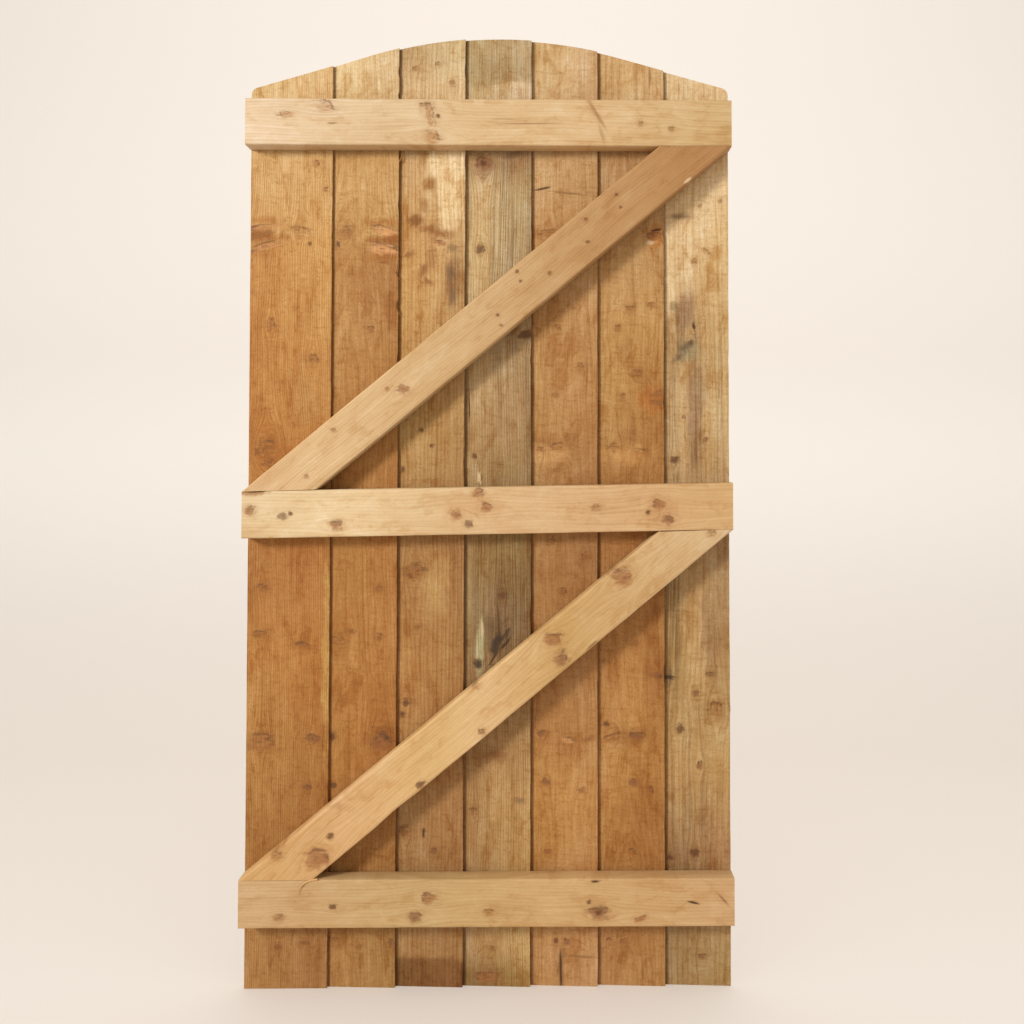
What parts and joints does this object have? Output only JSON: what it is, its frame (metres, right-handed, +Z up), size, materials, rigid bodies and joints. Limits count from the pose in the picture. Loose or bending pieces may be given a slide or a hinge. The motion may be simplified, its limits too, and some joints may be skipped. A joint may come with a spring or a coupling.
{
  "type": "garden gate",
  "caption": "Arched-top ledged and braced garden gate leaf of lapped feather-edge boards, without hinges or latch.",
  "frame": {"origin": "bottom of the boards, in the middle of the leaf's width and of its overall thickness", "axes": "+X from the hinge side to the latch side, +Z up, -Y towards the side with the ledges and braces"},
  "size_m": [0.915, 0.0602, 1.8],
  "materials": {
    "board_timber": "fine-sawn pressure-treated softwood, orange-brown with a green tinge",
    "frame_timber": "planed softwood with eased edges, pale honey",
    "nail_steel": "dull galvanised wire nails"
  },
  "bodies": {
    "root": {"board_1": "board_timber", "board_2": "board_timber", "board_3": "board_timber", "board_4": "board_timber", "board_5": "board_timber", "board_6": "board_timber", "board_7": "board_timber", "ledge_bottom": "frame_timber", "ledge_middle": "frame_timber", "ledge_top": "frame_timber", "brace_lower": "frame_timber", "brace_upper": "frame_timber", "nails_ledge_bottom": "nail_steel", "nails_ledge_middle": "nail_steel", "nails_ledge_top": "nail_steel", "nails_brace_lower": "nail_steel", "nails_brace_upper": "nail_steel"}
  },
  "joints": []
}
